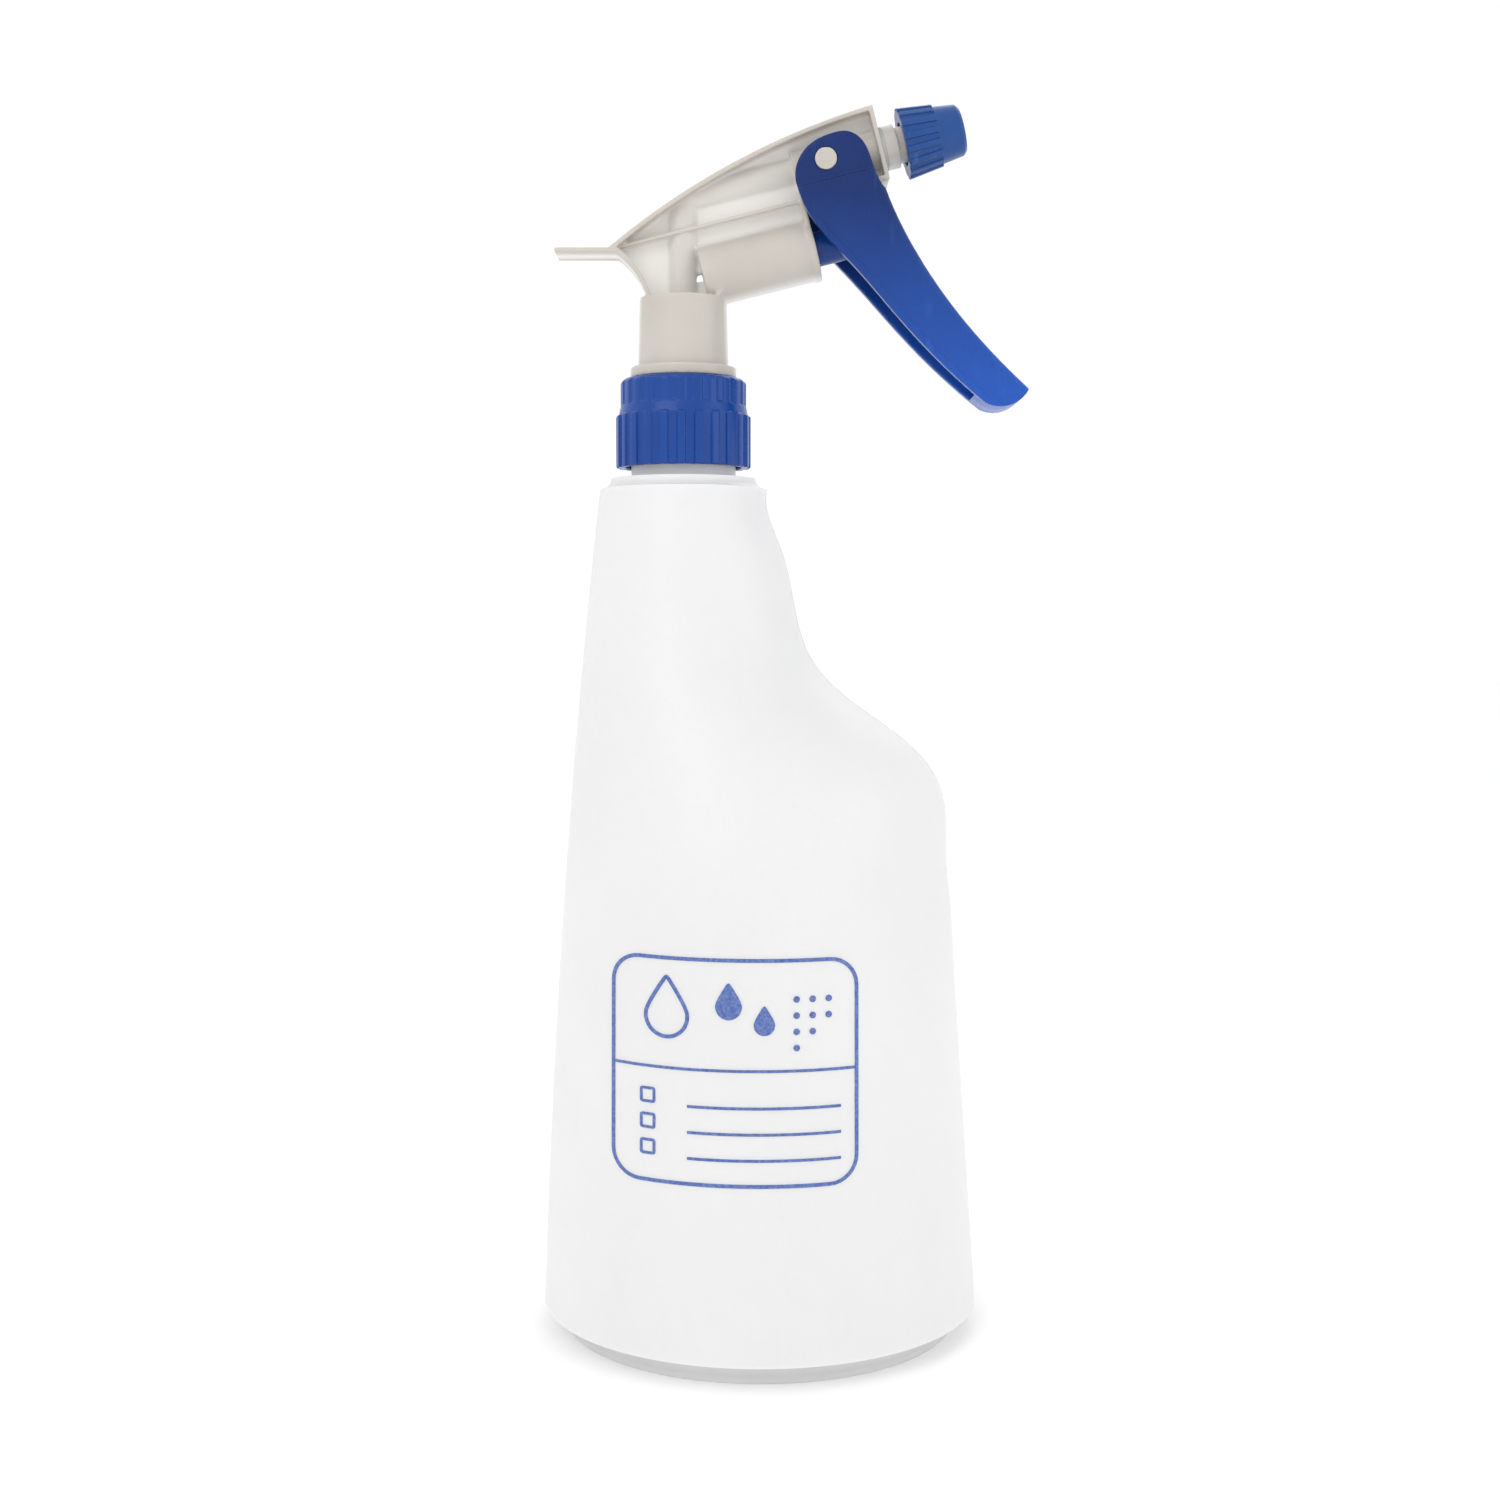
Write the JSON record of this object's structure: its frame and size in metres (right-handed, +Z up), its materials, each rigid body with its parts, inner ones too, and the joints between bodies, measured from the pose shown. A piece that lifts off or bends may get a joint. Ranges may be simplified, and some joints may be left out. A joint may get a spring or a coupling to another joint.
{
  "type": "trigger spray bottle",
  "caption": "Tapered plastic bottle with a stepped-in grip and a screw-on trigger sprayer: ribbed cap, piston pump, curved trigger and an adjustable spray nozzle.",
  "frame": {"origin": "centre of the bottle's base, on the surface it stands on", "axes": "+Z up, +X the way it sprays, Y across; the sprayer leans back so its barrel points 14 degrees above +X"},
  "size_m": [0.1173, 0.106, 0.2951],
  "materials": {
    "bottle_hdpe": "smooth satin, faintly translucent",
    "blue_cap": "semi-gloss moulded",
    "blue_plastic": "semi-gloss moulded",
    "cream_plastic": "satin moulded, slightly translucent",
    "natural_plastic": "satin moulded",
    "tube_plastic": "smooth extruded",
    "soft_grey": "soft elastomer",
    "spring_steel": "drawn wire",
    "ball_steel": "polished ball"
  },
  "bodies": {
    "bottle": {"bottle": "bottle_hdpe"},
    "head": {"sprayer_body": "cream_plastic", "closure_insert": "natural_plastic", "neck_gasket": "soft_grey", "vent_flap": "soft_grey", "dip_tube": "tube_plastic", "strainer": "tube_plastic", "nozzle_base": "natural_plastic", "base_gasket": "soft_grey", "swirl_core": "natural_plastic", "nozzle_ring": "soft_grey", "piston_spring": "spring_steel", "outlet_spring": "spring_steel"},
    "cap": {"screw_cap": "blue_cap"},
    "inlet_valve": {"inlet_ball": "ball_steel"},
    "outlet_poppet": {"outlet_valve": "natural_plastic"},
    "pump_piston": {"piston": "blue_plastic", "piston_seal": "natural_plastic"},
    "lever": {"trigger": "blue_plastic"},
    "nozzle_disc": {"orifice_disc": "natural_plastic"},
    "nozzle": {"nozzle_cap": "blue_cap"}
  },
  "joints": [
    {"name": "head_lift", "type": "slide", "parent": "bottle", "child": "head", "axis": [0, 0, 1], "range_m": [0, 0.00634]},
    {"name": "cap_turn", "type": "hinge", "parent": "head", "child": "cap", "pos_m": [-0.0185, 0, 0.22], "axis": [0, 0, 1], "range_deg": [0, 540]},
    {"name": "trigger_pull", "type": "hinge", "parent": "head", "child": "lever", "pos_m": [0.0155, 0, 0.2805], "axis": [0, 1, 0], "range_deg": [0, 22]},
    {"name": "piston_slide", "type": "slide", "parent": "head", "child": "pump_piston", "axis": [-0.9703, 0, -0.2419], "range_m": [0, 0.00706], "stiffness_N_per_m": 1180, "springref_m": -0.0092, "deforming": ["piston_spring"]},
    {"name": "nozzle_advance", "type": "slide", "parent": "head", "child": "nozzle_disc", "axis": [0.9703, 0, 0.2419], "range_m": [0, 0.00187]},
    {"name": "nozzle_turn", "type": "hinge", "parent": "nozzle_disc", "child": "nozzle", "pos_m": [0.03959, 0, 0.28723], "axis": [0.9703, 0, 0.2419], "range_deg": [0, 450]},
    {"name": "inlet_ball_lift", "type": "slide", "parent": "head", "child": "inlet_valve", "axis": [0, 0, 1], "range_m": [0, 0.0012]},
    {"name": "outlet_valve_open", "type": "slide", "parent": "head", "child": "outlet_poppet", "axis": [0.9703, 0, 0.2419], "range_m": [0, 0.001], "stiffness_N_per_m": 60, "springref_m": -0.002, "deforming": ["outlet_spring"]}
  ],
  "couplings": [
    {"joint": "cap_turn", "follows": "head_lift", "rad_per_m": 1484.3},
    {"joint": "trigger_pull", "follows": "piston_slide", "rad_per_m": 54.348},
    {"joint": "nozzle_turn", "follows": "nozzle_advance", "rad_per_m": 4188.8}
  ]
}
